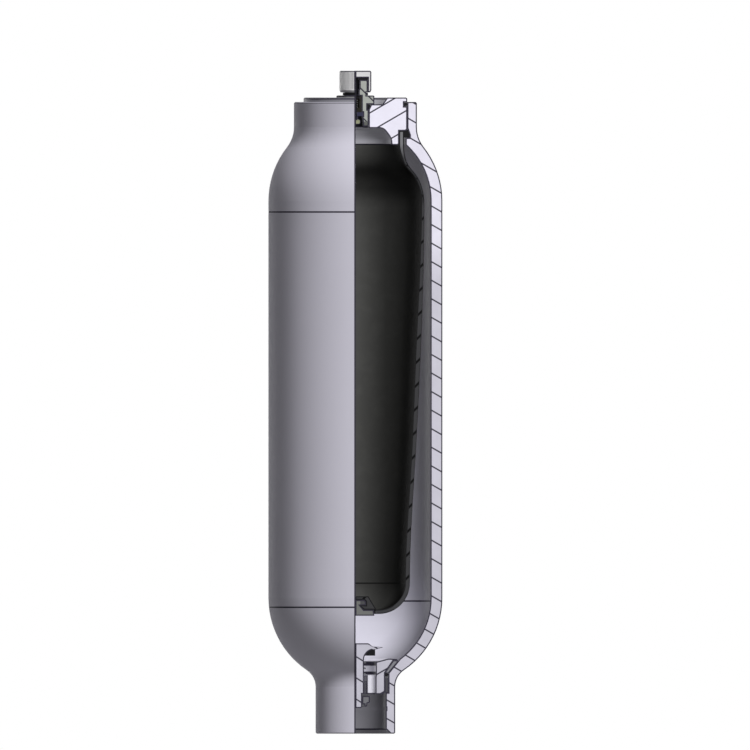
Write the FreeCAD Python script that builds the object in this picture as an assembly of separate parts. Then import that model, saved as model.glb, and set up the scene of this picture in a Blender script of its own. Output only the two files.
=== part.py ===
import FreeCAD, Part
import math
import os
from FreeCAD import Vector

# Bladder accumulator of 20 litres, sectioned: a quarter of every piece is cut away to show the inside.
# Millimetres. The axis is Z, and the origin is on it, in the bottom face of the oil port's neck.
# Every piece is a true section turned through the three quarters that are kept, from +X round to -Y.

# The cut
KEPT_SWEEP = 270.0

# Clearances
RUNNING_GAP = 0.05      # shaft in its bush, radial
STATIC_GAP = 0.15       # between pieces that are screwed or pressed together
MOVING_GAP = 0.3        # between pieces that move past each other and don't bear
MOULD_GAP = 0.3         # between the rubber and the button moulded into it

# Steel shell
SHELL_R = 114.5
SHELL_WALL = 15.5
BARREL_LENGTH = 522.8
FOOT_DOME_RISE = 64.0   # from the port's face to the lowest point of the lower dome, were it whole
FOOT_NECK_WALL = 12.4
FOOT_FILLET_R = 26.2
MOUTH_RISE = 130.1      # from the centre of the upper dome to the top of the mouth
MOUTH_NECK_WALL = 12.5
MOUTH_FILLET_R = 42.8
EDGE_CHAMFER = 1.5
SCRIBE_WIDTH = 1.4      # turned line under the upper dome
SCRIBE_DEPTH = 0.5
SCRIBE_DROP = 14.0      # below the level of the dome's centre

# Oil port bore, from the bottom face up
PORT_R = 40.0
PORT_CHAMFER = 6.5
PORT_THREAD_LENGTH = 25.0
THREAD_RELIEF = 3.0
THREAD_RELIEF_DEPTH = 0.8
SHOULDER_Z = 54.0       # step that carries the seal stack
SHOULDER_STEP = 3.5
SEAT_CONE_TOP_R = 58.8  # where the machined cone leaves the inner dome
SEAT_CONE_DEG = 51.2    # rise of the cone from level

# Mouth bore, from the top face down
MOUTH_THREAD_R = 68.4
MOUTH_THREAD_LENGTH = 34.4
MOUTH_RELIEF_R = 71.6
MOUTH_RELIEF_FALL = 9.0
MOUTH_DEPTH = 47.2      # top face to the shoulder under the mouth seal
MOUTH_OPENING_R = 66.2

# Closure plug
PLUG_PROUD = 5.9
PLUG_SHOULDER_DROP = 38.0   # top of the shell to the shoulder over the bladder's lip
PLUG_CORNER = 1.6
PLUG_GROOVE_DEPTH = 4.3
PLUG_GROOVE_WIDTH = 5.6
PLUG_GROOVE_TOP = 0.3   # below the top of the shell
PLUG_SKIRT_R = 57.5
PLUG_SKIRT_WALL = 10.3
PLUG_SKIRT_DEPTH = 18.6
PLUG_SKIRT_ROUND = 2.7
DISH_R = 31.5           # flat middle of the dished underside
DISH_DEPTH = 22.2
RECESS_FLOOR_R = 35.5
RECESS_TOP_R = 42.0
RECESS_DEPTH = 8.9
VALVE_BORE_R = 17.6
VALVE_BORE_CONE = 3.2
VALVE_BORE_CONE_DEPTH = 6.9
WRENCH_HOLE_R = 4.0
WRENCH_HOLE_PITCH_R = 55.0
WRENCH_HOLE_DEPTH = 9.0
WRENCH_HOLE_ANGLES = (45.0, 135.0, 225.0)

# Gas valve body
STEM_REACH = 29.2       # thread below the collar
STEM_UNDERCUT = 1.8
STEM_UNDERCUT_LENGTH = 7.0
COLLAR_CORNER_R = 25.0
COLLAR_HEIGHT = 11.6
DUST_GROOVE_R = 14.6
DUST_GROOVE_HEIGHT = 4.0
NECK_THREAD_R = 16.2
NECK_HEIGHT = 20.5      # collar to the top of the neck
TEST_BORE_R = 5.6
TEST_BORE_DEPTH = 11.5
PIN_BORE_R = 4.4
CORE_BORE_R = 8.3
CORE_BORE_LENGTH = 21.5
CORE_SEAL_POCKET_R = 10.2
CORE_SEAL_HEIGHT = 5.2
VALVE_MOUTH_R = 10.5
CORE_BORE_DROP = 0.5    # below the top of the collar
CORE_SEAT_STEP = 0.6
VALVE_RING_SHARE = 0.36     # O-ring's radius as a share of the cone's width
DUST_RING_LIP = 0.4     # outside the neck's thread

# Valve core
BARREL_SPRING_POCKET_R = 6.2
BARREL_FLOOR = 5.8      # height of the barrel's floor under the spring
PIN_R = 1.8
PIN_COLLAR_R = 5.6
PIN_COLLAR_HEIGHT = 1.8
PIN_COLLAR_DROP = 1.4   # below the top of the barrel
PIN_TOP_DROP = 3.4      # tip of the pin below the top of the neck
CORE_DISC_R = 6.6
CORE_DISC_HEIGHT = 10.4
CORE_DISC_NECK_R = 3.4
CORE_DISC_NECK_HEIGHT = 3.3
PIN_REACH = 4.2         # pin inside the disc
CORE_SPRING_WIRE_R = 0.5
CORE_SPRING_TURNS = 4

# Valve cap
CAP_R = 21.0
CAP_TOP_WALL = 9.2
CAP_RIM_GAP = 4.0       # rim above the collar
CAP_SEAL_THICKNESS = 2.4
CAP_SEAL_HOLE_R = 4.0

# Bladder: height share of the flank, gap to the shell's inner wall, and rubber thickness
BLADDER_FLANK = ((1.0, 8.3, 3.5), (0.608, 12.9, 6.2), (0.316, 20.2, 5.1), (0.0, 27.3, 5.8))
# Bladder neck: height under the mouth seal's shoulder, share of the way out to the flank, thickness
BLADDER_NECK = ((22.7, 0.052, 5.0), (36.2, 0.238, 4.6), (50.2, 0.639, 4.0), (65.2, 0.885, 3.6))
BLADDER_LIP_R = 63.8
BLADDER_LIP_DEPTH = 8.2     # straight lip below the shoulder
BLADDER_FOOT_LEVEL = 157.6  # underside above the port's face
BLADDER_FLAT = 6.0          # flat ring of the foot round the button's face
BOSS_TOP_R = 17.1
BOSS_FOOT_R = 27.6
BOSS_RISE = 17.4        # top of the boss over the inner floor

# Button moulded into the bladder's foot
BUTTON_FACE_R = 25.0
BUTTON_RIM_R = 23.8
BUTTON_DROP = 2.4       # face below the rubber
BUTTON_RIM_HEIGHT = 7.8
BUTTON_TRUNK_R = 11.0
BUTTON_WAIST_R = 5.6
BUTTON_HEAD_R = 13.8
BUTTON_HEAD_HEIGHT = 7.0
BUTTON_HEAD_CHAMFER = 2.0
BUTTON_HEIGHT = 20.8

# Seat insert in the oil port
INSERT_BOTTOM_Z = 52.0
INSERT_FIT = 1.0        # spigot inside the port's bore
INSERT_ROUND = 3.5
INSERT_SHOULDER_IN = 1.0    # bevelled shoulder between the flange's edge and its crown
INSERT_SHOULDER_DROP = 0.7
INSERT_CROWN_WIDTH = 3.0
INSERT_CROWN_Z = 98.8
INSERT_CROWN_R = 43.0
SEAT_BORE_R = 26.9
SEAT_LIP_Z = 94.4
POCKET_FLOOR_Z = 77.0
FLOW_HOLE_R = 5.2
FLOW_HOLE_PITCH_R = 21.3
FLOW_HOLE_COUNT = 8
CONE_RING_DROP = 3.0    # top of the ring below the insert's crown
CONE_RING_WIDTH = 6.2   # at its top
BUSH_WALL = 2.8
BUSH_LENGTH = 15.6
HUB_CLEARANCE = 0.4     # hub bore above the bush, outside the stem

# Seal stack round the insert
O_RING_SECTION_R = 2.2
BACKUP_RING_HEIGHT = 2.6

# Poppet
POPPET_LIFT = 16.5      # from its open rest down to the seat
POPPET_LIP_OVERLAP = 8.8    # lip outside the seat's bore
POPPET_LIP_EDGE = 0.6
POPPET_TOP_R = 17.2
POPPET_SHOULDER_R = 22.8
POPPET_SHOULDER_RISE = 0.8  # thin lip, from its edge to the shoulder
POPPET_TOP_RISE = 5.1
STEM_R = 11.2
FLARE_R = 14.0
STEM_THREAD_R = 8.8
STEM_THREAD_LENGTH = 18.4
STEM_STEP = 0.2         # stem's shoulder above the underside of the hub
POPPET_SEAL_R = 26.0
POPPET_SEAL_HEIGHT = 8.2
POPPET_SPRING_WIRE_R = 1.1
POPPET_SPRING_TURNS = 3
POPPET_SPRING_GAP = 0.5     # spring outside the stem

# Stem nut
WASHER_R = 17.0
WASHER_THICKNESS = 2.0
NUT_CORNER_R = 19.0
NUT_HEIGHT = 14.2
NUT_CROWN_R = 14.0
NUT_CROWN_HEIGHT = 4.6
NUT_RING_THICKNESS = 3.0
NUT_RING_HEIGHT = 3.2
NUT_RING_SUNK = 0.4     # ring above the nut's lower face
NUT_CROWN_IN = 0.6      # crown inside the flats


class Outline:
    """A closed section in the XZ plane, drawn as lines, arcs and smooth curves. r runs out from the axis."""

    def __init__(self, r, z):
        self.start = Vector(r, 0, z)
        self.here = self.start
        self.edges = []

    def add(self, curve, end):
        self.edges.append(curve.toShape())
        self.here = end
        return self

    def line(self, r, z):
        end = Vector(r, 0, z)
        return self.add(Part.LineSegment(self.here, end), end)

    def arc(self, centre, r, z):
        """The shorter arc about centre from here to (r, z)."""
        middle = Vector(centre[0], 0, centre[1])
        end = Vector(r, 0, z)
        halfway = (self.here - middle) + (end - middle)
        halfway.normalize()
        top = middle + halfway * (self.here - middle).Length
        return self.add(Part.Arc(self.here, top, end), end)

    def curve(self, points, start_way, end_way):
        """A smooth curve through points, with its direction given at both ends."""
        stations = [self.here] + [Vector(r, 0, z) for r, z in points]
        spline = Part.BSplineCurve()
        spline.interpolate(
            Points=stations,
            InitialTangent=Vector(start_way[0], 0, start_way[1]),
            FinalTangent=Vector(end_way[0], 0, end_way[1]),
        )
        return self.add(spline, stations[-1])

    def turned(self):
        """The section turned through the kept three quarters."""
        if (self.here - self.start).Length > 1e-6:
            self.line(self.start.x, self.start.z)
        face = Part.Face(Part.Wire(self.edges))
        return face.revolve(Vector(0, 0, 0), Vector(0, 0, 1), KEPT_SWEEP)


def ring(inner_r, outer_r, low_z, high_z):
    """A plain ring, or a disc where inner_r is 0."""
    return Outline(inner_r, low_z).line(outer_r, low_z).line(outer_r, high_z).line(inner_r, high_z).turned()


def round_ring(middle_r, middle_z, section_r):
    """An O-ring of round section, turned through the kept sweep."""
    circle = Part.Circle(Vector(middle_r, 0, middle_z), Vector(0, 1, 0), section_r)
    face = Part.Face(Part.Wire([circle.toShape()]))
    return face.revolve(Vector(0, 0, 0), Vector(0, 0, 1), KEPT_SWEEP)


def hexagon(corner_r, low_z, high_z):
    """A hexagonal bar with a corner on +X."""
    corners = [
        Vector(corner_r * math.cos(math.radians(60 * i)), corner_r * math.sin(math.radians(60 * i)), low_z)
        for i in range(7)
    ]
    return Part.Face(Part.makePolygon(corners)).extrude(Vector(0, 0, high_z - low_z))


def spring(middle_r, wire_r, low_z, high_z, turns):
    """A coil spring with the removed quarter of each turn cut away, so each turn is one bow."""
    pitch = (high_z - low_z - 2 * wire_r) / (turns - 1 + KEPT_SWEEP / 360.0)
    bows = []
    for i in range(turns):
        path = Part.makeHelix(pitch, pitch * KEPT_SWEEP / 360.0, middle_r)
        wire = Part.Wire(Part.Circle(Vector(middle_r, 0, 0), Vector(0, 1, 0), wire_r).toShape())
        bow = Part.Wire(path.Edges).makePipeShell([wire], True, True)
        bow.translate(Vector(0, 0, low_z + wire_r + i * pitch))
        bows.append(bow)
    return Part.makeCompound(bows)


def circle_height(radius, r):
    """Height on a circle of this radius, over its centre, at distance r from the axis."""
    return math.sqrt(radius * radius - r * r)


# Levels and radii that several pieces share
inner_r = SHELL_R - SHELL_WALL
foot_dome_z = FOOT_DOME_RISE + SHELL_R
mouth_dome_z = foot_dome_z + BARREL_LENGTH
shell_top_z = mouth_dome_z + MOUTH_RISE
foot_neck_r = PORT_R + FOOT_NECK_WALL
mouth_neck_r = MOUTH_THREAD_R + MOUTH_NECK_WALL
mouth_shoulder_z = shell_top_z - MOUTH_DEPTH
counterbore_r = PORT_R + SHOULDER_STEP
cone_rise = math.tan(math.radians(SEAT_CONE_DEG))
cone_top_z = foot_dome_z - circle_height(inner_r, SEAT_CONE_TOP_R)


def cone_z(r):
    """Height of the port's seat cone at distance r from the axis."""
    return cone_top_z - (SEAT_CONE_TOP_R - r) * cone_rise


def neck_fillet(neck_r, fillet_r, dome_z, side):
    """Level where a neck's fillet starts, and where it joins the dome. side is 1 above, -1 below."""
    rise = circle_height(SHELL_R + fillet_r, neck_r + fillet_r)
    share = SHELL_R / (SHELL_R + fillet_r)
    return dome_z + side * rise, ((neck_r + fillet_r) * share, dome_z + side * rise * share)


def shell():
    """Forged steel bottle: a barrel between two domes, a narrow oil port below and a wide mouth above."""
    foot_z, foot_joint = neck_fillet(foot_neck_r, FOOT_FILLET_R, foot_dome_z, -1)
    mouth_z, mouth_joint = neck_fillet(mouth_neck_r, MOUTH_FILLET_R, mouth_dome_z, 1)
    relief_top = shell_top_z - MOUTH_THREAD_LENGTH
    line_z = mouth_dome_z - SCRIBE_DROP - SCRIBE_WIDTH
    thread_top = PORT_CHAMFER + PORT_THREAD_LENGTH
    relief_r = PORT_R + THREAD_RELIEF_DEPTH
    out = Outline(PORT_R + PORT_CHAMFER, 0)
    out.line(foot_neck_r - EDGE_CHAMFER, 0)
    out.line(foot_neck_r, EDGE_CHAMFER)
    out.line(foot_neck_r, foot_z)
    out.arc((foot_neck_r + FOOT_FILLET_R, foot_z), *foot_joint)
    out.arc((0, foot_dome_z), SHELL_R, foot_dome_z)
    out.line(SHELL_R, line_z)
    out.line(SHELL_R - SCRIBE_DEPTH, line_z + SCRIBE_WIDTH / 2)
    out.line(SHELL_R, line_z + SCRIBE_WIDTH)
    out.line(SHELL_R, mouth_dome_z)
    out.arc((0, mouth_dome_z), *mouth_joint)
    out.arc((mouth_neck_r + MOUTH_FILLET_R, mouth_z), mouth_neck_r, mouth_z)
    out.line(mouth_neck_r, shell_top_z - EDGE_CHAMFER)
    out.line(mouth_neck_r - EDGE_CHAMFER, shell_top_z)
    out.line(MOUTH_THREAD_R, shell_top_z)
    out.line(MOUTH_THREAD_R, relief_top)
    out.line(MOUTH_RELIEF_R, relief_top - MOUTH_RELIEF_FALL)
    out.line(MOUTH_RELIEF_R, mouth_shoulder_z)
    out.line(MOUTH_OPENING_R + EDGE_CHAMFER, mouth_shoulder_z)
    out.line(MOUTH_OPENING_R, mouth_shoulder_z - EDGE_CHAMFER)
    out.line(MOUTH_OPENING_R, mouth_dome_z + circle_height(inner_r, MOUTH_OPENING_R))
    out.arc((0, mouth_dome_z), inner_r, mouth_dome_z)
    out.line(inner_r, foot_dome_z)
    out.arc((0, foot_dome_z), SEAT_CONE_TOP_R, cone_top_z)
    out.line(counterbore_r, cone_z(counterbore_r))
    out.line(counterbore_r, SHOULDER_Z)
    out.line(PORT_R, SHOULDER_Z)
    out.line(PORT_R, thread_top + THREAD_RELIEF)
    out.line(relief_r, thread_top + THREAD_RELIEF)
    out.line(relief_r, thread_top)
    out.line(PORT_R, thread_top)
    out.line(PORT_R, PORT_CHAMFER)
    return out.turned()


# Closure plug and what seals it
plug_r = MOUTH_THREAD_R - STATIC_GAP
plug_top_z = shell_top_z + PLUG_PROUD
plug_shoulder_z = shell_top_z - PLUG_SHOULDER_DROP
skirt_bottom_z = plug_shoulder_z - PLUG_SKIRT_DEPTH
recess_floor_z = plug_top_z - RECESS_DEPTH
groove_top_z = shell_top_z - PLUG_GROOVE_TOP
valve_bore_cone_r = VALVE_BORE_R + VALVE_BORE_CONE


def closure_plug():
    """Screwed plug: dished below, with a skirt inside the bladder's lip, and a recess for the gas valve."""
    dish_top_z = skirt_bottom_z + DISH_DEPTH
    inner_skirt_r = PLUG_SKIRT_R - PLUG_SKIRT_WALL
    round_z = skirt_bottom_z + PLUG_SKIRT_ROUND
    dish_side = inner_skirt_r - DISH_R
    out = Outline(VALVE_BORE_R, dish_top_z)
    out.line(DISH_R, dish_top_z)
    out.curve(
        [(DISH_R + 0.62 * dish_side, dish_top_z - 0.27 * DISH_DEPTH), (inner_skirt_r, round_z)],
        (1, 0),
        (0, -1),
    )
    out.arc((inner_skirt_r + PLUG_SKIRT_ROUND, round_z), inner_skirt_r + PLUG_SKIRT_ROUND, skirt_bottom_z)
    out.line(PLUG_SKIRT_R - PLUG_SKIRT_ROUND, skirt_bottom_z)
    out.arc((PLUG_SKIRT_R - PLUG_SKIRT_ROUND, round_z), PLUG_SKIRT_R, round_z)
    out.line(PLUG_SKIRT_R, plug_shoulder_z)
    out.line(plug_r - PLUG_CORNER, plug_shoulder_z)
    out.line(plug_r, plug_shoulder_z + PLUG_CORNER)
    out.line(plug_r, groove_top_z - PLUG_GROOVE_WIDTH)
    out.line(plug_r - PLUG_GROOVE_DEPTH, groove_top_z - PLUG_GROOVE_WIDTH)
    out.line(plug_r - PLUG_GROOVE_DEPTH, groove_top_z)
    out.line(plug_r, groove_top_z)
    out.line(plug_r, plug_top_z - EDGE_CHAMFER)
    out.line(plug_r - EDGE_CHAMFER, plug_top_z)
    out.line(RECESS_TOP_R, plug_top_z)
    out.line(RECESS_FLOOR_R, recess_floor_z)
    out.line(valve_bore_cone_r, recess_floor_z)
    out.line(VALVE_BORE_R, recess_floor_z - VALVE_BORE_CONE_DEPTH)
    plug = out.turned()
    for angle in WRENCH_HOLE_ANGLES:
        turn = math.radians(angle)
        foot = Vector(
            WRENCH_HOLE_PITCH_R * math.cos(turn),
            WRENCH_HOLE_PITCH_R * math.sin(turn),
            plug_top_z - WRENCH_HOLE_DEPTH,
        )
        plug = plug.cut(Part.makeCylinder(WRENCH_HOLE_R, WRENCH_HOLE_DEPTH + 1, foot))
    return plug


def plug_o_ring():
    """O-ring in the plug's groove, against the bore of the mouth."""
    section_r = (PLUG_GROOVE_DEPTH - STATIC_GAP) / 2
    return round_ring(plug_r - section_r, groove_top_z - PLUG_GROOVE_WIDTH / 2, section_r)


def mouth_seal():
    """Rubber wedge ring between the bladder's lip, the plug's corner and the shoulder in the mouth."""
    low_z = mouth_shoulder_z + STATIC_GAP
    relief_r = MOUTH_RELIEF_R - STATIC_GAP
    relief_top = shell_top_z - MOUTH_THREAD_LENGTH
    fall = (MOUTH_RELIEF_R - MOUTH_THREAD_R) / MOUTH_RELIEF_FALL
    top_z = plug_shoulder_z + PLUG_CORNER
    top_r = MOUTH_THREAD_R + fall * (relief_top - top_z) - STATIC_GAP
    out = Outline(BLADDER_LIP_R + STATIC_GAP, low_z)
    out.line(relief_r, low_z)
    out.line(relief_r, relief_top - MOUTH_RELIEF_FALL)
    out.line(top_r, top_z)
    out.line(plug_r + STATIC_GAP, top_z)
    out.line(plug_r - PLUG_CORNER + STATIC_GAP, plug_shoulder_z - STATIC_GAP)
    out.line(BLADDER_LIP_R + STATIC_GAP, plug_shoulder_z - STATIC_GAP)
    return out.turned()


# Gas valve
collar_top_z = recess_floor_z + COLLAR_HEIGHT
neck_top_z = collar_top_z + NECK_HEIGHT
stem_bottom_z = recess_floor_z - STEM_REACH
core_bore_top_z = collar_top_z - CORE_BORE_DROP
core_seal_top_z = core_bore_top_z - CORE_BORE_LENGTH
core_seal_low_z = core_seal_top_z - CORE_SEAL_HEIGHT


def gas_valve_body():
    """Valve body: a threaded stem in the plug, a hexagonal collar on the recess, and a threaded neck."""
    stem_r = VALVE_BORE_R - STATIC_GAP
    undercut_r = stem_r - STEM_UNDERCUT
    groove_z = collar_top_z + DUST_GROOVE_HEIGHT
    rounded_r = COLLAR_CORNER_R - EDGE_CHAMFER
    out = Outline(VALVE_MOUTH_R, stem_bottom_z)
    out.line(stem_r - EDGE_CHAMFER, stem_bottom_z)
    out.line(stem_r, stem_bottom_z + EDGE_CHAMFER)
    out.line(stem_r, recess_floor_z - STEM_UNDERCUT_LENGTH)
    out.line(undercut_r, recess_floor_z - STEM_UNDERCUT_LENGTH)
    out.line(undercut_r, recess_floor_z)
    out.line(COLLAR_CORNER_R, recess_floor_z)
    out.line(COLLAR_CORNER_R, collar_top_z - EDGE_CHAMFER / 2)
    out.line(rounded_r, collar_top_z)
    out.line(DUST_GROOVE_R, collar_top_z)
    out.line(DUST_GROOVE_R, groove_z)
    out.line(NECK_THREAD_R, groove_z)
    out.line(NECK_THREAD_R, neck_top_z - EDGE_CHAMFER)
    out.line(NECK_THREAD_R - EDGE_CHAMFER, neck_top_z)
    out.line(TEST_BORE_R, neck_top_z)
    out.line(TEST_BORE_R, neck_top_z - TEST_BORE_DEPTH)
    out.line(PIN_BORE_R, neck_top_z - TEST_BORE_DEPTH - EDGE_CHAMFER)
    out.line(PIN_BORE_R, core_bore_top_z)
    out.line(CORE_BORE_R, core_bore_top_z)
    out.line(CORE_BORE_R, core_seal_top_z)
    out.line(CORE_SEAL_POCKET_R, core_seal_top_z)
    out.line(CORE_SEAL_POCKET_R, core_seal_low_z)
    out.line(CORE_BORE_R + CORE_SEAT_STEP, core_seal_low_z)
    body = out.turned()
    below = ring(0, COLLAR_CORNER_R + 1, stem_bottom_z - 1, recess_floor_z)
    above = ring(0, COLLAR_CORNER_R + 1, collar_top_z, neck_top_z + 1)
    flats = hexagon(COLLAR_CORNER_R, recess_floor_z, collar_top_z)
    return body.common(flats.fuse([below, above]))


def gas_valve_o_ring():
    """O-ring under the collar, in the cone at the top of the plug's bore."""
    undercut_r = VALVE_BORE_R - STATIC_GAP - STEM_UNDERCUT
    section_r = (valve_bore_cone_r - undercut_r) * VALVE_RING_SHARE
    reach = section_r + STATIC_GAP / 2
    return round_ring(undercut_r + reach, recess_floor_z - reach, section_r)


def dust_ring():
    """Rubber ring in the groove between the collar and the cap's rim."""
    low_z = collar_top_z + STATIC_GAP
    high_z = collar_top_z + CAP_RIM_GAP - MOVING_GAP
    return ring(DUST_GROOVE_R + STATIC_GAP, NECK_THREAD_R + DUST_RING_LIP, low_z, high_z)


# Valve core
barrel_low_z = core_seal_top_z + STATIC_GAP
barrel_top_z = core_bore_top_z - STATIC_GAP
barrel_floor_z = barrel_low_z + BARREL_FLOOR
pin_collar_top_z = barrel_top_z - PIN_COLLAR_DROP
pin_collar_low_z = pin_collar_top_z - PIN_COLLAR_HEIGHT
core_disc_top_z = core_seal_low_z - MOVING_GAP
core_disc_low_z = core_disc_top_z - CORE_DISC_HEIGHT


def core_barrel():
    """Brass barrel of the core, with a pocket for its spring."""
    out = Outline(PIN_R + MOVING_GAP, barrel_low_z)
    out.line(CORE_BORE_R - STATIC_GAP, barrel_low_z)
    out.line(CORE_BORE_R - STATIC_GAP, barrel_top_z)
    out.line(BARREL_SPRING_POCKET_R, barrel_top_z)
    out.line(BARREL_SPRING_POCKET_R, barrel_floor_z)
    out.line(PIN_R + MOVING_GAP, barrel_floor_z)
    return out.turned()


def core_seal():
    """Soft ring below the barrel, which the disc closes against."""
    return ring(
        PIN_R + MOVING_GAP,
        CORE_SEAL_POCKET_R - STATIC_GAP,
        core_seal_low_z + STATIC_GAP / 2,
        core_seal_top_z - STATIC_GAP / 2,
    )


def core_pin():
    """Steel pin: pushed down, it lifts the disc off the seal. Its collar takes the spring."""
    tip_z = neck_top_z - PIN_TOP_DROP
    foot_z = core_disc_top_z - PIN_REACH
    out = Outline(0, foot_z)
    out.line(PIN_R, foot_z)
    out.line(PIN_R, pin_collar_low_z)
    out.line(PIN_COLLAR_R, pin_collar_low_z)
    out.line(PIN_COLLAR_R, pin_collar_top_z)
    out.line(PIN_R, pin_collar_top_z)
    out.line(PIN_R, tip_z - PIN_R / 2)
    out.line(PIN_R / 2, tip_z)
    out.line(0, tip_z)
    return out.turned()


def core_disc():
    """Brass disc on the foot of the pin, with a rounded shoulder below its narrow neck."""
    hole_z = core_disc_top_z - PIN_REACH - STATIC_GAP
    shoulder_z = core_disc_top_z - CORE_DISC_NECK_HEIGHT
    out = Outline(0, core_disc_low_z)
    out.line(CORE_DISC_R - EDGE_CHAMFER, core_disc_low_z)
    out.line(CORE_DISC_R, core_disc_low_z + EDGE_CHAMFER)
    out.line(CORE_DISC_R, shoulder_z - EDGE_CHAMFER)
    out.line(CORE_DISC_NECK_R, shoulder_z)
    out.line(CORE_DISC_NECK_R, core_disc_top_z)
    out.line(PIN_R + STATIC_GAP / 2, core_disc_top_z)
    out.line(PIN_R + STATIC_GAP / 2, hole_z)
    out.line(0, hole_z)
    return out.turned()


def core_spring():
    """Small coil spring between the barrel's floor and the pin's collar."""
    middle_r = PIN_R + MOVING_GAP + CORE_SPRING_WIRE_R
    return spring(
        middle_r,
        CORE_SPRING_WIRE_R,
        barrel_floor_z + STATIC_GAP,
        pin_collar_low_z - STATIC_GAP,
        CORE_SPRING_TURNS,
    )


# Valve cap
cap_seal_low_z = neck_top_z + MOVING_GAP
cap_inner_top_z = cap_seal_low_z + CAP_SEAL_THICKNESS + STATIC_GAP
cap_bore_r = NECK_THREAD_R + MOVING_GAP


def valve_cap():
    """Screw cap over the valve's neck, bevelled at its rim."""
    rim_z = collar_top_z + CAP_RIM_GAP
    top_z = cap_inner_top_z + CAP_TOP_WALL
    out = Outline(0, cap_inner_top_z)
    out.line(cap_bore_r, cap_inner_top_z)
    out.line(cap_bore_r, rim_z + EDGE_CHAMFER)
    out.line(cap_bore_r + EDGE_CHAMFER, rim_z)
    out.line(CAP_R - EDGE_CHAMFER, rim_z)
    out.line(CAP_R, rim_z + 2 * EDGE_CHAMFER)
    out.line(CAP_R, top_z - EDGE_CHAMFER)
    out.line(CAP_R - EDGE_CHAMFER, top_z)
    out.line(0, top_z)
    return out.turned()


def cap_seal():
    """Rubber washer held in the top of the cap."""
    outer_r = cap_bore_r - MOVING_GAP
    return ring(CAP_SEAL_HOLE_R, outer_r, cap_seal_low_z, cap_seal_low_z + CAP_SEAL_THICKNESS)


# Bladder
flank_top_z = mouth_dome_z
foot_centre_r = BUTTON_FACE_R + BLADDER_FLAT
foot_outer_r = inner_r - BLADDER_FLANK[-1][1] - foot_centre_r
foot_inner_r = foot_outer_r - BLADDER_FLANK[-1][2]
foot_low_z = BLADDER_FOOT_LEVEL
foot_centre_z = foot_low_z + foot_outer_r
foot_floor_z = foot_centre_z - foot_inner_r
button_face_z = foot_low_z - BUTTON_DROP
button_rim_z = button_face_z + BUTTON_RIM_HEIGHT
button_top_z = button_face_z + BUTTON_HEIGHT
button_head_z = button_top_z - BUTTON_HEAD_HEIGHT
button_chamfer_z = button_top_z - BUTTON_HEAD_CHAMFER


def bladder_side(share_of_wall):
    """Points of the bladder's neck and flank from the top down. share_of_wall is 0 outside and 1 inside."""
    reach = inner_r - BLADDER_FLANK[0][1] - BLADDER_LIP_R
    neck = [
        (BLADDER_LIP_R + reach * out - share_of_wall * wall, mouth_shoulder_z - drop)
        for drop, out, wall in BLADDER_NECK
    ]
    height = flank_top_z - foot_centre_z
    flank = [
        (inner_r - gap - share_of_wall * wall, foot_centre_z + share * height)
        for share, gap, wall in BLADDER_FLANK
    ]
    return neck, flank


def bladder():
    """Rubber bladder hung from its lip, narrower towards a rounded foot with the button's boss."""
    lip_inner_r = PLUG_SKIRT_R + STATIC_GAP
    lip_top_z = plug_shoulder_z - STATIC_GAP
    lip_low_z = mouth_shoulder_z - BLADDER_LIP_DEPTH
    outer_neck, outer_flank = bladder_side(0)
    inner_neck, inner_flank = bladder_side(1)
    gap = MOULD_GAP
    boss_z = foot_floor_z + BOSS_RISE
    out = Outline(BLADDER_LIP_R, lip_top_z)
    out.line(BLADDER_LIP_R, lip_low_z)
    out.curve(outer_neck + outer_flank[:1], (0, -1), (0, -1))
    out.curve(outer_flank[1:], (0, -1), (0, -1))
    out.arc((foot_centre_r, foot_centre_z), foot_centre_r, foot_low_z)
    out.line(BUTTON_FACE_R + gap, foot_low_z)
    out.line(BUTTON_RIM_R + gap, button_rim_z + gap)
    out.line(BUTTON_TRUNK_R + gap, button_rim_z + gap)
    out.line(BUTTON_WAIST_R + gap, button_head_z - gap)
    out.line(BUTTON_HEAD_R + gap, button_head_z - gap)
    out.line(BUTTON_HEAD_R + gap, button_chamfer_z)
    out.line(BUTTON_HEAD_R - BUTTON_HEAD_CHAMFER, button_top_z + gap)
    out.line(0, button_top_z + gap)
    out.line(0, boss_z)
    out.line(BOSS_TOP_R, boss_z)
    out.line(BOSS_FOOT_R, foot_floor_z)
    out.line(foot_centre_r, foot_floor_z)
    out.arc((foot_centre_r, foot_centre_z), *inner_flank[-1])
    out.curve(list(reversed(inner_flank[:-1])), (0, 1), (0, 1))
    out.curve(list(reversed(inner_neck)) + [(lip_inner_r, lip_low_z)], (0, 1), (0, 1))
    out.line(lip_inner_r, lip_top_z)
    return out.turned()


def bladder_button():
    """Steel button moulded into the foot of the bladder: a flat face, a narrow waist and a mushroom head."""
    out = Outline(0, button_face_z)
    out.line(BUTTON_FACE_R, button_face_z)
    out.line(BUTTON_RIM_R, button_rim_z)
    out.line(BUTTON_TRUNK_R, button_rim_z)
    out.line(BUTTON_WAIST_R, button_head_z)
    out.line(BUTTON_HEAD_R, button_head_z)
    out.line(BUTTON_HEAD_R, button_chamfer_z)
    out.line(BUTTON_HEAD_R - BUTTON_HEAD_CHAMFER, button_top_z)
    out.line(0, button_top_z)
    return out.turned()


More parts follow.
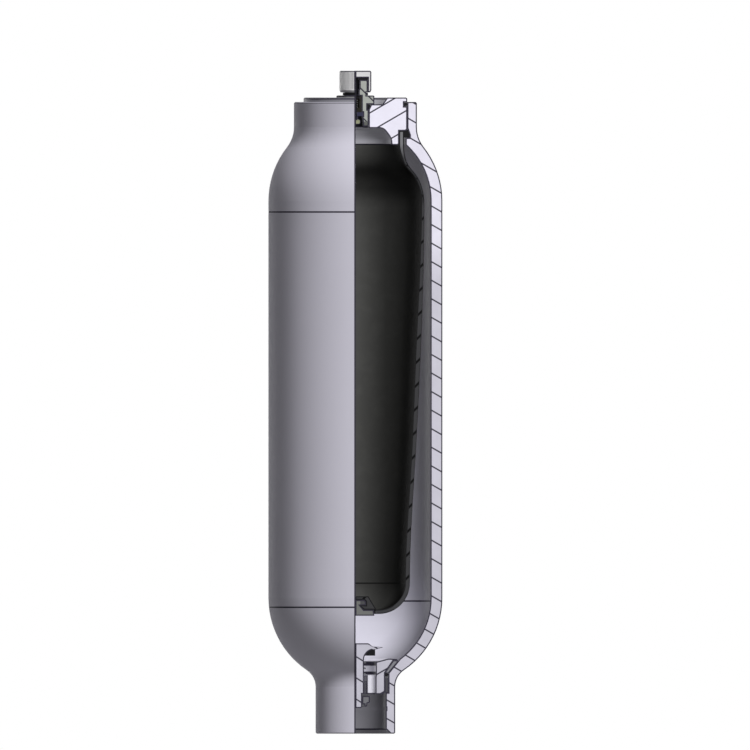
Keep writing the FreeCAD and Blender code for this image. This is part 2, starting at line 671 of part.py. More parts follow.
# Oil port
insert_r = PORT_R - INSERT_FIT
cone_ring_low_z = cone_z(counterbore_r) + STATIC_GAP
cone_ring_top_z = INSERT_CROWN_Z - CONE_RING_DROP
cone_ring_outer_r = SEAT_CONE_TOP_R - (cone_top_z - cone_ring_top_z) / cone_rise - STATIC_GAP
cone_ring_inner_r = cone_ring_outer_r - CONE_RING_WIDTH
seat_slope = (INSERT_CROWN_Z - SEAT_LIP_Z) / (INSERT_CROWN_R - SEAT_BORE_R)
bush_seat_r = STEM_R + RUNNING_GAP + BUSH_WALL + STATIC_GAP
bush_shoulder_z = INSERT_BOTTOM_Z + BUSH_LENGTH + STATIC_GAP


def seat_insert():
    """Seat for the poppet, dropped into the port's cone: a flange, a pocket and a drilled hub."""
    flange_r = cone_ring_outer_r - STATIC_GAP
    flange_z = cone_ring_top_z + STATIC_GAP
    out = Outline(bush_seat_r, INSERT_BOTTOM_Z)
    out.line(insert_r - INSERT_ROUND, INSERT_BOTTOM_Z)
    round_z = INSERT_BOTTOM_Z + INSERT_ROUND
    out.arc((insert_r - INSERT_ROUND, round_z), insert_r, round_z)
    out.line(insert_r, cone_ring_low_z)
    out.line(cone_ring_inner_r - STATIC_GAP, flange_z)
    out.line(flange_r, flange_z)
    out.line(flange_r - INSERT_SHOULDER_IN, INSERT_CROWN_Z - INSERT_SHOULDER_DROP)
    out.line(INSERT_CROWN_R + INSERT_CROWN_WIDTH, INSERT_CROWN_Z)
    out.line(INSERT_CROWN_R, INSERT_CROWN_Z)
    out.line(SEAT_BORE_R, SEAT_LIP_Z)
    out.line(SEAT_BORE_R, POCKET_FLOOR_Z)
    out.line(STEM_R + HUB_CLEARANCE, POCKET_FLOOR_Z)
    out.line(STEM_R + HUB_CLEARANCE, bush_shoulder_z)
    out.line(bush_seat_r, bush_shoulder_z)
    insert = out.turned()
    drill_height = POCKET_FLOOR_Z - INSERT_BOTTOM_Z + 2
    for i in range(FLOW_HOLE_COUNT):
        turn = 2 * math.pi * i / FLOW_HOLE_COUNT
        across = FLOW_HOLE_PITCH_R * math.cos(turn)
        along = FLOW_HOLE_PITCH_R * math.sin(turn)
        foot = Vector(across, along, INSERT_BOTTOM_Z - 1)
        insert = insert.cut(Part.makeCylinder(FLOW_HOLE_R, drill_height, foot))
    return insert


def guide_bush():
    """Bronze bush pressed into the hub from below, which guides the poppet's stem."""
    bore_r = STEM_R + RUNNING_GAP
    return ring(bore_r, bore_r + BUSH_WALL, INSERT_BOTTOM_Z, INSERT_BOTTOM_Z + BUSH_LENGTH)


def cone_ring():
    """Wedge-shaped steel ring between the insert's flange and the port's cone, over the seals."""
    out = Outline(insert_r + STATIC_GAP, cone_ring_low_z)
    out.line(counterbore_r - STATIC_GAP, cone_ring_low_z)
    out.line(cone_ring_outer_r, cone_ring_top_z)
    out.line(cone_ring_inner_r, cone_ring_top_z)
    return out.turned()


o_ring_z = cone_ring_low_z - RUNNING_GAP - O_RING_SECTION_R
backup_top_z = o_ring_z - O_RING_SECTION_R - RUNNING_GAP
support_top_z = backup_top_z - BACKUP_RING_HEIGHT - RUNNING_GAP


def port_o_ring():
    """O-ring between the insert and the counterbore of the port."""
    return round_ring((insert_r + counterbore_r) / 2, o_ring_z, O_RING_SECTION_R)


def port_backup_ring():
    """Hard plastic ring that keeps the O-ring out of the gap."""
    inner = insert_r + STATIC_GAP
    return ring(inner, counterbore_r - STATIC_GAP, backup_top_z - BACKUP_RING_HEIGHT, backup_top_z)


def port_support_ring():
    """Steel ring on the shoulder of the port, under the seals."""
    return ring(insert_r + STATIC_GAP, counterbore_r - STATIC_GAP, SHOULDER_Z, support_top_z)


# Poppet
lip_r = SEAT_BORE_R + POPPET_LIP_OVERLAP
under_z = SEAT_LIP_Z + POPPET_LIFT
lip_z = under_z + seat_slope * POPPET_LIP_OVERLAP
head_top_z = lip_z + POPPET_LIP_EDGE + POPPET_TOP_RISE
flare_r = STEM_R + FLARE_R
flare_low_z = under_z - FLARE_R
stem_end_z = INSERT_BOTTOM_Z + STEM_STEP
stem_tip_z = stem_end_z - STEM_THREAD_LENGTH


def poppet():
    """Steel poppet: a wide thin-lipped head, a flared neck, a guided stem and a threaded end."""
    out = Outline(0, stem_tip_z)
    out.line(STEM_THREAD_R - EDGE_CHAMFER, stem_tip_z)
    out.line(STEM_THREAD_R, stem_tip_z + EDGE_CHAMFER)
    out.line(STEM_THREAD_R, stem_end_z)
    out.line(STEM_R, stem_end_z)
    out.line(STEM_R, flare_low_z)
    out.arc((flare_r, flare_low_z), flare_r, under_z)
    out.line(SEAT_BORE_R, under_z)
    out.line(lip_r, lip_z)
    out.line(lip_r, lip_z + POPPET_LIP_EDGE)
    out.line(POPPET_SHOULDER_R, lip_z + POPPET_LIP_EDGE + POPPET_SHOULDER_RISE)
    out.line(POPPET_TOP_R, head_top_z)
    out.line(0, head_top_z)
    return out.turned()


def poppet_seal():
    """Rubber ring in the flare under the head: it enters the seat's bore as the poppet closes."""
    low_z = under_z - POPPET_SEAL_HEIGHT
    fit_r = FLARE_R - STATIC_GAP
    inner = flare_r - circle_height(fit_r, low_z - flare_low_z)
    out = Outline(inner, low_z)
    out.line(POPPET_SEAL_R, low_z)
    out.line(POPPET_SEAL_R, under_z - STATIC_GAP)
    out.line(flare_r, under_z - STATIC_GAP)
    out.arc((flare_r, flare_low_z), inner, low_z)
    return out.turned()


def poppet_spring():
    """Coil spring between the floor of the pocket and the poppet's flare, which holds the poppet open."""
    middle_r = STEM_R + POPPET_SPRING_GAP + POPPET_SPRING_WIRE_R
    reach = FLARE_R - POPPET_SPRING_WIRE_R - STATIC_GAP
    top_z = flare_low_z + circle_height(reach, flare_r - middle_r) + POPPET_SPRING_WIRE_R
    return spring(middle_r, POPPET_SPRING_WIRE_R, POCKET_FLOOR_Z + STATIC_GAP, top_z, POPPET_SPRING_TURNS)


washer_top_z = INSERT_BOTTOM_Z - MOVING_GAP
nut_top_z = washer_top_z - WASHER_THICKNESS - RUNNING_GAP
nut_low_z = nut_top_z - NUT_HEIGHT
nut_bore_r = STEM_THREAD_R + STATIC_GAP


def stem_washer():
    """Washer that stops the open poppet against the underside of the hub."""
    return ring(nut_bore_r, WASHER_R, washer_top_z - WASHER_THICKNESS, washer_top_z)


def stem_nut():
    """Self-locking hexagon nut on the poppet's stem, with a rounded crown that holds its plastic ring."""
    crown_z = nut_low_z + NUT_CROWN_HEIGHT
    ring_r = nut_bore_r + NUT_RING_THICKNESS
    ring_top = nut_low_z + NUT_RING_HEIGHT
    crown_r = NUT_CORNER_R * math.cos(math.radians(30)) - NUT_CROWN_IN
    out = Outline(ring_r, nut_low_z)
    out.line(NUT_CROWN_R, nut_low_z)
    out.curve([(crown_r, crown_z)], (1, 0.2), (0, 1))
    out.line(NUT_CORNER_R, crown_z + 1)
    out.line(NUT_CORNER_R, nut_top_z)
    out.line(nut_bore_r, nut_top_z)
    out.line(nut_bore_r, ring_top)
    out.line(ring_r, ring_top)
    return out.turned().common(hexagon(NUT_CORNER_R, nut_low_z, nut_top_z))


def nut_locking_ring():
    """Plastic ring in the crown of the nut, gripping the thread."""
    ring_r = nut_bore_r + NUT_RING_THICKNESS - RUNNING_GAP
    top_z = nut_low_z + NUT_RING_HEIGHT - RUNNING_GAP
    return ring(STEM_THREAD_R + RUNNING_GAP, ring_r, nut_low_z + NUT_RING_SUNK, top_z)


PIECES = (
    shell,
    closure_plug,
    plug_o_ring,
    mouth_seal,
    gas_valve_body,
    gas_valve_o_ring,
    dust_ring,
    core_barrel,
    core_seal,
    core_pin,
    core_disc,
    core_spring,
    valve_cap,
    cap_seal,
    bladder,
    bladder_button,
    seat_insert,
    cone_ring,
    guide_bush,
    port_o_ring,
    port_backup_ring,
    port_support_ring,
    poppet,
    poppet_seal,
    poppet_spring,
    stem_washer,
    stem_nut,
    nut_locking_ring,
)

os.makedirs("parts", exist_ok=True)
for piece in PIECES:
    piece().exportStep(f"parts/{piece.__name__}.step")
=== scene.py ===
import math

import bmesh
import bpy
import numpy as np
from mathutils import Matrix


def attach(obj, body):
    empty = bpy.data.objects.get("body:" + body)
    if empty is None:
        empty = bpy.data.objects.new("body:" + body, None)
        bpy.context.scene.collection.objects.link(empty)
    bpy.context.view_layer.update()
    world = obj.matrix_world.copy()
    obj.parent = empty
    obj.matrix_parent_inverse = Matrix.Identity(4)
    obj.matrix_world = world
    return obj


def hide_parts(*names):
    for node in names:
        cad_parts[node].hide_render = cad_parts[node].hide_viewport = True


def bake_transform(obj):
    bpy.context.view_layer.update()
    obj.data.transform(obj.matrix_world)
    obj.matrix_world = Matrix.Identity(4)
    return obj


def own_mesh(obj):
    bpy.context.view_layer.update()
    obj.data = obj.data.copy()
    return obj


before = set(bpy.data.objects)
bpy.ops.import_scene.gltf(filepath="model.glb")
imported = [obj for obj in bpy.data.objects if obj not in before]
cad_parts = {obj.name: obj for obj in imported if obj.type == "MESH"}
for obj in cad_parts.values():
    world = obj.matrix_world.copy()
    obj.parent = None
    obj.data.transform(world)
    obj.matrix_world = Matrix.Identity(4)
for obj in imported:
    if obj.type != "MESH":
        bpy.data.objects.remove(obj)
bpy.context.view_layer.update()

# Camera, light and floor
# The accumulator is seen level and square to its cut, as in a workshop drawing.
# One soft lamp stands to the right of the viewer and a little above. Five weak ones all round lift the shade evenly.
PHOTO_SIZE = 750
METRES_PER_PIXEL = 0.0013161
AXIS_PIXEL_X = 355.4
FOOT_PIXEL_Y = 733.7
VIEW_DISTANCE = 3.0
LAMP_TURN = math.radians(35)
LAMP_RISE = math.radians(34)
LAMP_SPREAD = math.radians(20)
LAMP_STRENGTH = 3.60
SHADOW_SHARE = 0.2
FILL_STRENGTH = 0.30
FILL_TURNS = (60, 180, 300)
ROOM_LIGHT = 0.07
ROOM_WHITE = 1.0
FLOOR_HALF = 4.0
FLOOR_CORNERS = ((-1, -1), (1, -1), (1, 1), (-1, 1))
FLOOR_PALE = (0.9, 0.9, 0.9, 1)
FLOOR_ROUGHNESS = 0.8
FLOOR_BOUNCE = (0.12, 0.12, 0.12, 1)

camera_data = bpy.data.cameras.new("camera")
camera_data.type = "ORTHO"
camera_data.ortho_scale = PHOTO_SIZE * METRES_PER_PIXEL
camera = bpy.data.objects.new("camera", camera_data)
camera.location = (
    (PHOTO_SIZE / 2 - AXIS_PIXEL_X) * METRES_PER_PIXEL,
    -VIEW_DISTANCE,
    (FOOT_PIXEL_Y - PHOTO_SIZE / 2) * METRES_PER_PIXEL,
)
camera.rotation_euler = (math.pi / 2, 0, 0)
bpy.context.scene.collection.objects.link(camera)
bpy.context.scene.camera = camera
bpy.context.scene.view_settings.view_transform = "Standard"


def lamp(name, strength, turn, rise, shadow=False):
    """A distant lamp, turned to the right of the viewer and raised by two angles, with or without a shadow."""
    data = bpy.data.lights.new(name, "SUN")
    data.energy = strength
    data.angle = LAMP_SPREAD
    data.use_shadow = shadow
    placed = bpy.data.objects.new(name, data)
    placed.rotation_euler = (math.pi / 2 - rise, 0, turn)
    bpy.context.scene.collection.objects.link(placed)


lamp("key_lamp", LAMP_STRENGTH * (1 - SHADOW_SHARE), LAMP_TURN, LAMP_RISE)
lamp("shadow_lamp", LAMP_STRENGTH * SHADOW_SHARE, LAMP_TURN, LAMP_RISE, shadow=True)
for i, degrees in enumerate(FILL_TURNS):
    lamp(f"fill_lamp_{i}", FILL_STRENGTH, LAMP_TURN + math.radians(degrees), 0)
lamp("fill_lamp_top", FILL_STRENGTH, 0, math.pi / 2)
lamp("fill_lamp_low", FILL_STRENGTH, 0, -math.pi / 2)

world = bpy.data.worlds.new("room")
bpy.context.scene.world = world
world.use_nodes = True
room = world.node_tree
room.nodes.clear()


def room_background(strength):
    """White light of the given strength, from all round."""
    background = room.nodes.new("ShaderNodeBackground")
    background.inputs["Color"].default_value = (1, 1, 1, 1)
    background.inputs["Strength"].default_value = strength
    return background.outputs["Background"]


def either(first, second):
    """The larger of two values, which is 1 for a ray of one kind or of the other."""
    larger = room.nodes.new("ShaderNodeMath")
    larger.operation = "MAXIMUM"
    room.links.new(first, larger.inputs[0])
    room.links.new(second, larger.inputs[1])
    return larger.outputs[0]


# The viewer, and whatever gloss and glass mirror, sees plain white. The room lights the object only dimly.
ray = room.nodes.new("ShaderNodeLightPath").outputs
seen = either(ray["Is Camera Ray"], either(ray["Is Glossy Ray"], ray["Is Transmission Ray"]))
room_mix = room.nodes.new("ShaderNodeMixShader")
room.links.new(seen, room_mix.inputs["Fac"])
room.links.new(room_background(ROOM_LIGHT), room_mix.inputs[1])
room.links.new(room_background(ROOM_WHITE), room_mix.inputs[2])
room_output = room.nodes.new("ShaderNodeOutputWorld")
room.links.new(room_mix.outputs["Shader"], room_output.inputs["Surface"])


def mesh_object(name, points, faces):
    """A mesh object from an array of points and a list of faces, each a list of the numbers of its points."""
    mesh = bpy.data.meshes.new(name)
    mesh.from_pydata(np.asarray(points, float).tolist(), [], faces)
    mesh.update()
    made = bpy.data.objects.new(name, mesh)
    bpy.context.scene.collection.objects.link(made)
    return made


# The floor is pale to the eye, and throws little light back on the object.
floor = mesh_object("floor", [(FLOOR_HALF * x, FLOOR_HALF * y, 0) for x, y in FLOOR_CORNERS], [[0, 1, 2, 3]])
floor_paint = bpy.data.materials.new("floor_paint")
floor_paint.use_nodes = True
floor_tree = floor_paint.node_tree
floor_pale = floor_tree.nodes["Principled BSDF"]
floor_pale.inputs["Base Color"].default_value = FLOOR_PALE
floor_pale.inputs["Roughness"].default_value = FLOOR_ROUGHNESS
floor_dull = floor_tree.nodes.new("ShaderNodeBsdfDiffuse")
floor_dull.inputs["Color"].default_value = FLOOR_BOUNCE
floor_path = floor_tree.nodes.new("ShaderNodeLightPath")
floor_mix = floor_tree.nodes.new("ShaderNodeMixShader")
floor_tree.links.new(floor_path.outputs["Is Diffuse Ray"], floor_mix.inputs["Fac"])
floor_tree.links.new(floor_pale.outputs[0], floor_mix.inputs[1])
floor_tree.links.new(floor_dull.outputs[0], floor_mix.inputs[2])
floor_tree.links.new(floor_mix.outputs[0], floor_tree.nodes["Material Output"].inputs["Surface"])
floor.data.materials.append(floor_paint)

# Shell
# Forged and heat-treated steel bottle, sprayed with grey primer outside and left bare inside, with painted shade
# inside beside the cut and in the bore.
# Two planes cut a quarter out of it. The cut faces are enamelled pale and carry painted section lines.
SHELL_PAINT = (0.55, 0.535, 0.61, 1)
PAINT_CLOUD = 0.97
PAINT_ROUGHNESS = (0.5, 0.6)
PAINT_SPECULAR = 0.02
SHELL_INSIDE = (0.60, 0.59, 0.66, 1)
INSIDE_RING = 0.95
INSIDE_GLOSS = 0.12
CUT_SIDE_SHADE = 0.5
CUT_SIDE_SHADE_BEHIND = (0.028, 0.075, 1.0, 0.0)
CUT_SIDE_SHADE_UP = (0.25, 0.55, 1.0, 0.45)
BORE_TOP_Z = 0.0545
BORE_SHADE = 0.31
BEVEL_EDGE_Z = 0.0060
BEVEL_HALF = 0.0009
BEVEL_SHADE = 0.45
UPPER_SCRIBE_Z = 0.6866
LOWER_SCRIBE_Z = 0.1664
INNER_SCRIBE_Z = 0.1746
SCRIBE_HALF = 0.0009
MOUTH_EDGE_Z = 0.8300
MOUTH_EDGE_SHARE = 0.7
EDGE_HALF = 0.0013
MARK_FADE = 1.33
CUT_DEPTH = 2e-5
FACING_LIMIT = 0.0005
CUT_ENAMEL = (0.85, 0.83, 0.94, 1)
ENAMEL_CLOUDS = (0.35, 0.65, 0.0, 0.06)
MID_SHADE_UP = (0.597, 0.650)
MID_SHADE = 0.76
LOW_SHADE_UP = (0.200, 0.290)
LOW_SHADE = 0.69
LINE_COLOUR = (0.034, 0.031, 0.046, 1)
LINE_WIDTH = 0.0018
LINE_CORE = 0.35
LINE_FADE = 0.65
SHELL_LINES = (0.7767, math.tan(math.radians(30)), 0.02443)
NOISE_SPAN = (0.3, 0.7)


class Nodes:
    """The node tree of one material, with short ways to add and link its nodes.

    It reads each point's place in the object, or the place that the piece has stored under a name.
    """

    def __init__(self, name, stored=None):
        self.material = bpy.data.materials.new(name)
        self.material.use_nodes = True
        self.tree = self.material.node_tree
        self.shader = self.tree.nodes["Principled BSDF"]
        coordinates = self.add("ShaderNodeTexCoord")
        self.place = coordinates.outputs["Object"]
        if stored:
            self.place = self.add("ShaderNodeAttribute", attribute_name=stored).outputs["Vector"]
        self.normal = coordinates.outputs["Normal"]
        self.x, self.y, self.z = self.split(self.place)

    def add(self, kind, **settings):
        """A new node of one kind, with its settings."""
        node = self.tree.nodes.new(kind)
        for key, value in settings.items():
            setattr(node, key, value)
        return node

    def split(self, vector):
        """The x, y and z of a vector."""
        node = self.add("ShaderNodeSeparateXYZ")
        self.tree.links.new(vector, node.inputs[0])
        return node.outputs

    def link(self, source, socket):
        """Links an output to the socket, or sets the socket to a number or colour."""
        if hasattr(source, "is_linked"):
            self.tree.links.new(source, socket)
        else:
            socket.default_value = source

    def math(self, operation, *values):
        """One sum, done on outputs or numbers."""
        node = self.add("ShaderNodeMath", operation=operation)
        for value, socket in zip(values, node.inputs):
            self.link(value, socket)
        return node.outputs[0]

    def times(self, first, *others):
        """The values multiplied together."""
        for other in others:
            first = self.math("MULTIPLY", first, other)
        return first

    def largest(self, first, *others):
        """The largest of the values, which lays marks over each other."""
        for other in others:
            first = self.math("MAXIMUM", first, other)
        return first

    def above(self, value, limit):
        """1 where the value is over the limit, and 0 elsewhere."""
        return self.math("GREATER_THAN", value, limit)

    def below(self, value, limit):
        """1 where the value is under the limit, and 0 elsewhere."""
        return self.math("LESS_THAN", value, limit)

    def mix(self, share, first, second):
        """The first colour where share is 0, and the second where it is 1."""
        node = self.add("ShaderNodeMix", data_type="RGBA")
        for value, index in ((share, 0), (first, 6), (second, 7)):
            self.link(value, node.inputs[index])
        return node.outputs[2]

    def ramp(self, value, low, high, start=0.0, end=1.0):
        """start below low, end above high, and a straight ramp between.

        A value whose name ends in _UP, _BEHIND or _ALONG holds the first two or all four numbers of such a ramp.
        """
        node = self.add("ShaderNodeMapRange")
        for key, given in zip(("Value", "From Min", "From Max", "To Min", "To Max"), (value, low, high, start, end)):
            self.link(given, node.inputs[key])
        return node.outputs["Result"]

    def noise(self, scale, detail, place=None):
        """Noise of the given scale in parts per metre."""
        node = self.add("ShaderNodeTexNoise")
        node.inputs["Scale"].default_value = scale
        node.inputs["Detail"].default_value = detail
        self.tree.links.new(place or self.place, node.inputs["Vector"])
        return node.outputs["Fac"]

    def clouds(self, scale, detail, between=(0.0, 1.0)):
        """Noise with more contrast, which wanders between two values."""
        return self.ramp(self.noise(scale, detail), *NOISE_SPAN, *between)

    def radius(self):
        """Distance from the axis: the root of x squared plus y squared."""
        return self.math("SQRT", self.math("ADD", self.times(self.x, self.x), self.times(self.y, self.y)))

    def turning(self, scale, detail):
        """Marks of the lathe: noise of the radius and the height only, so it runs round the axis as rings."""
        node = self.add("ShaderNodeCombineXYZ")
        self.tree.links.new(self.radius(), node.inputs[0])
        self.tree.links.new(self.z, node.inputs[2])
        return self.noise(scale, detail, node.outputs[0])

    def rings(self, scale, detail):
        """Marks of the lathe with more contrast, from 0 to 1."""
        return self.ramp(self.turning(scale, detail), *NOISE_SPAN)

    def behind_cut(self):
        """How far a point lies behind the two planes of the cut: the larger of y and minus x."""
        return self.largest(self.y, self.times(self.x, -1.0))

    def along_cut(self):
        """How far a point lies out from the axis along the cut: the larger of x and minus y."""
        return self.largest(self.x, self.times(self.y, -1.0))

    def on_cut(self):
        """1 on the two planes of the cut, where y or x is nothing, and 0 elsewhere."""
        front = self.times(self.math("COMPARE", self.y, 0.0, CUT_DEPTH), self.above(self.x, -CUT_DEPTH))
        side = self.times(self.math("COMPARE", self.x, 0.0, CUT_DEPTH), self.below(self.y, CUT_DEPTH))
        return self.largest(front, side)

    def inward(self):
        """1 where the surface faces the axis: the normal's x times x plus its y times y is below nothing."""
        across, along, _ = self.split(self.normal)
        out = self.math("ADD", self.times(across, self.x), self.times(along, self.y))
        return self.below(out, -FACING_LIMIT)

    def near(self, value, middle, half):
        """1 within half of middle, falling to 0 over a third of half more."""
        off = self.math("ABSOLUTE", self.math("SUBTRACT", value, middle))
        return self.ramp(off, half, half * MARK_FADE, 1.0, 0.0)

    def cut_edge(self):
        """1 on the narrow band of every surface beside the two planes of the cut."""
        side = self.times(self.near(self.x, 0.0, EDGE_HALF), self.below(self.y, 0.0))
        front = self.times(self.near(self.y, 0.0, EDGE_HALF), self.above(self.x, 0.0))
        return self.largest(front, side)

    def section_lines(self, start, slope, spacing, width=LINE_WIDTH):
        """1 on slanting lines of the cut: height plus slope times the distance from the axis steps by spacing.

        One of them meets the axis at the height start.
        """
        across = self.math("ADD", self.math("ABSOLUTE", self.x), self.math("ABSOLUTE", self.y))
        height = self.math("ADD", self.z, self.times(across, slope))
        step = self.math("FRACT", self.math("DIVIDE", self.math("SUBTRACT", height, start - spacing / 2), spacing))
        off = self.math("ABSOLUTE", self.math("SUBTRACT", step, 0.5))
        off = self.times(off, spacing * math.cos(math.atan(slope)))
        return self.ramp(off, width * LINE_CORE, width * LINE_FADE, 1.0, 0.0)

    def cut_colour(self, enamel, lines=()):
        """Enamel of a cut face, a little cloudy and painted darker towards the floor as shade, with section lines if
        it has any.
        """
        # Painted shade: the enamel steps darker in two ramps towards the floor.
        low_shaded = self.mix(self.ramp(self.z, *LOW_SHADE_UP), tint(enamel, LOW_SHADE), tint(enamel, MID_SHADE))
        dust_and_shade = self.mix(self.ramp(self.z, *MID_SHADE_UP), low_shaded, enamel)
        cloudy = self.mix(self.ramp(self.noise(scale=45, detail=3), *ENAMEL_CLOUDS), dust_and_shade, LINE_COLOUR)
        if not lines:
            return cloudy
        return self.mix(self.section_lines(*lines), cloudy, LINE_COLOUR)

    def bump(self, height, strength, distance):
        """Raises the surface by height times distance, in the shading alone."""
        node = self.add("ShaderNodeBump")
        node.inputs["Strength"].default_value = strength
        node.inputs["Distance"].default_value = distance
        self.tree.links.new(height, node.inputs["Height"])
        self.tree.links.new(node.outputs["Normal"], self.shader.inputs["Normal"])

    def finish(self, colour, roughness, specular, metallic=0.0):
        """The finished material."""
        self.link(colour, self.shader.inputs["Base Color"])
        self.link(roughness, self.shader.inputs["Roughness"])
        self.shader.inputs["Specular IOR Level"].default_value = specular
        self.shader.inputs["Metallic"].default_value = metallic
        return self.material


def tint(colour, factor):
    """The same colour, made darker or lighter by a factor."""
    return tuple(min(factor * c, 1.0) for c in colour[:3]) + (1,)


def dress(node, material):
    """Gives every slot of a CAD node this material."""
    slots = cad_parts[node].data.materials
    slots.clear()
    slots.append(material)


n = Nodes("shell_paint")
inside = n.inward()
paint = n.mix(n.clouds(scale=9, detail=4), tint(SHELL_PAINT, PAINT_CLOUD), SHELL_PAINT)
bare = n.mix(n.rings(scale=60, detail=4), tint(SHELL_INSIDE, INSIDE_RING), SHELL_INSIDE)
# Painted shade: the bare inside is darker close behind the cut, most of all low down, where it faces away from the
# lamp.
cut_side_shade = n.times(n.ramp(n.behind_cut(), *CUT_SIDE_SHADE_BEHIND), n.ramp(n.z, *CUT_SIDE_SHADE_UP))
bare = n.mix(cut_side_shade, bare, tint(SHELL_INSIDE, CUT_SIDE_SHADE))
# Painted shade: the port bore below BORE_TOP_Z is painted darker, and its bevel at the foot a little less dark.
bare = n.mix(n.below(n.z, BORE_TOP_Z), bare, tint(SHELL_INSIDE, BORE_SHADE))
bare = n.mix(n.below(n.z, BEVEL_EDGE_Z), bare, tint(SHELL_INSIDE, BEVEL_SHADE))
bare = n.mix(n.near(n.z, BEVEL_EDGE_Z, BEVEL_HALF), bare, LINE_COLOUR)
scribes = n.largest(n.near(n.z, UPPER_SCRIBE_Z, SCRIBE_HALF), n.near(n.z, LOWER_SCRIBE_Z, SCRIBE_HALF))
mouth_edge = n.times(n.near(n.z, MOUTH_EDGE_Z, SCRIBE_HALF * MOUTH_EDGE_SHARE), MOUTH_EDGE_SHARE)
outer_marks = n.times(n.largest(scribes, mouth_edge), n.math("SUBTRACT", 1.0, inside))
inner_marks = n.times(n.near(n.z, INNER_SCRIBE_Z, SCRIBE_HALF), inside)
marks = n.largest(outer_marks, n.cut_edge(), inner_marks)
colour = n.mix(marks, n.mix(inside, paint, bare), LINE_COLOUR)
n.bump(n.noise(scale=900, detail=3), strength=0.12, distance=0.0002)
gloss = n.clouds(scale=140, detail=3, between=PAINT_ROUGHNESS)
gloss = n.math("SUBTRACT", gloss, n.times(inside, INSIDE_GLOSS))
dress("shell", n.finish(n.mix(n.on_cut(), colour, n.cut_colour(CUT_ENAMEL, SHELL_LINES)), gloss, PAINT_SPECULAR))

# Closure plug and its seals
# A steel plug, turned all over and screwed into the mouth, holds the bladder's lip and the gas valve.
# Its O-ring and the wedge ring under its shoulder are black nitrile rubber.
STEEL = (0.47, 0.465, 0.51, 1)
STEEL_RING = 0.92
STEEL_ROUGHNESS = (0.42, 0.52)
STEEL_SPECULAR = 0.06
STEEL_METALLIC = 0.08
PLUG_OUTSIDE = (0.22, 0.218, 0.24, 1)
PLUG_LINES = (0.806, -0.582, 0.025)
SKIRT_EDGE = (0.7748, 0.0013)
DISH_EDGE = (0.7988, 0.0011)
RECESS_SHADE = (0.8225, 0.0027)
RIM_EDGE = (0.8355, 0.0008)
RUBBER = (0.012, 0.012, 0.013, 1)
RUBBER_DUST = (0.45, 0.75, 0.0, 0.25)
DUST_TINT = 1.5
SEAL_ROUGHNESS = (0.6, 0.72)
SEAL_SPECULAR = 0.05


def turned_steel(name, outside, inside, enamel, lines=(), marks=(), change=None):
    """Steel with rings left by the lathe, another colour where it faces the axis, and enamelled cut faces.

    marks are dark bands round the piece, each a height and half its width: drawn edge lines, and on the plug and the
    insert also painted shade in recesses and under the seat's lip. change is a function that gives the cut face
    another colour in places.
    """
    n = Nodes(name)
    rings = n.rings(scale=700, detail=4)
    outer = n.mix(rings, tint(outside, STEEL_RING), outside)
    inner = n.mix(rings, tint(inside, STEEL_RING), inside)
    surface = n.mix(n.inward(), outer, inner)
    dark = n.largest(n.cut_edge(), *(n.near(n.z, level, half) for level, half in marks))
    face = n.cut_colour(enamel, lines)
    if change:
        face = change(n, face)
    n.bump(n.turning(scale=1500, detail=2), strength=0.15, distance=0.0001)
    colour = n.mix(n.on_cut(), n.mix(dark, surface, LINE_COLOUR), face)
    return n.finish(colour, n.ramp(rings, 0.0, 1.0, *STEEL_ROUGHNESS), STEEL_SPECULAR, STEEL_METALLIC)


def rubber(name, colour, roughness, stored=None):
    """Moulded rubber, nearly black and dull, with a fine matt grain and a trace of pale dust.

    The nodes come back with the colour and the roughness, so that a piece can add to them.
    """
    n = Nodes(name, stored)
    dust_and_shade = n.mix(n.ramp(n.noise(scale=60, detail=4), *RUBBER_DUST), colour, tint(colour, DUST_TINT))
    n.bump(n.noise(scale=1600, detail=2), strength=0.2, distance=0.0001)
    return n, dust_and_shade, n.clouds(scale=300, detail=2, between=roughness)


plug_marks = (SKIRT_EDGE, DISH_EDGE, RECESS_SHADE, RIM_EDGE)
dress("closure_plug", turned_steel("plug_steel", PLUG_OUTSIDE, STEEL, CUT_ENAMEL, PLUG_LINES, plug_marks))
n, colour, roughness = rubber("seal_rubber", RUBBER, SEAL_ROUGHNESS)
seal_rubber = n.finish(colour, roughness, SEAL_SPECULAR)
for ring in ("plug_o_ring", "mouth_seal", "gas_valve_o_ring", "dust_ring", "cap_seal", "port_o_ring", "poppet_seal"):
    dress(ring, seal_rubber)

# Gas valve and its core
# A zinc-plated steel body with a hexagonal collar is screwed into the plug, with the brass core in its bore.
# The bore is painted dark as shade, and the brass is dark with oil, but for the disc at the foot of the pin.
VALVE_STEEL = (0.12, 0.122, 0.116, 1)
VALVE_CUT = (0.39, 0.405, 0.375, 1)
VALVE_LINES = (0.8563, 1.0, 0.036)
COLLAR_EDGE = (0.8402, 0.0014)
TIP_UP = (0.8052, 0.8062, 1.0, 0.0)
TIP_SHADE = 0.3
SHADED_BORE = (0.012, 0.012, 0.015, 1)
DARK_BRASS = (0.020, 0.018, 0.014, 1)
DISC_BRASS = (0.30, 0.31, 0.20, 1)
CORE_BLUE = (0.03, 0.03, 0.065, 1)
CORE_ROUGHNESS = (0.4, 0.5)
CORE_SPECULAR = 0.2
PLASTIC_CLOUD = 0.8


def dark_tip(n, face):
    """The lowest end of the body is oily and dark on the cut."""
    return n.mix(n.ramp(n.z, *TIP_UP), face, tint(VALVE_CUT, TIP_SHADE))


def moulded_plastic(name, colour, roughness, specular):
    """Moulded plastic: one colour with faint clouds, a fine grain and a soft gloss."""
    n = Nodes(name)
    cloudy = n.mix(n.clouds(scale=400, detail=3), tint(colour, PLASTIC_CLOUD), colour)
    n.bump(n.noise(scale=2000, detail=2), strength=0.1, distance=0.0001)
    return n.finish(cloudy, n.clouds(scale=500, detail=2, between=roughness), specular)
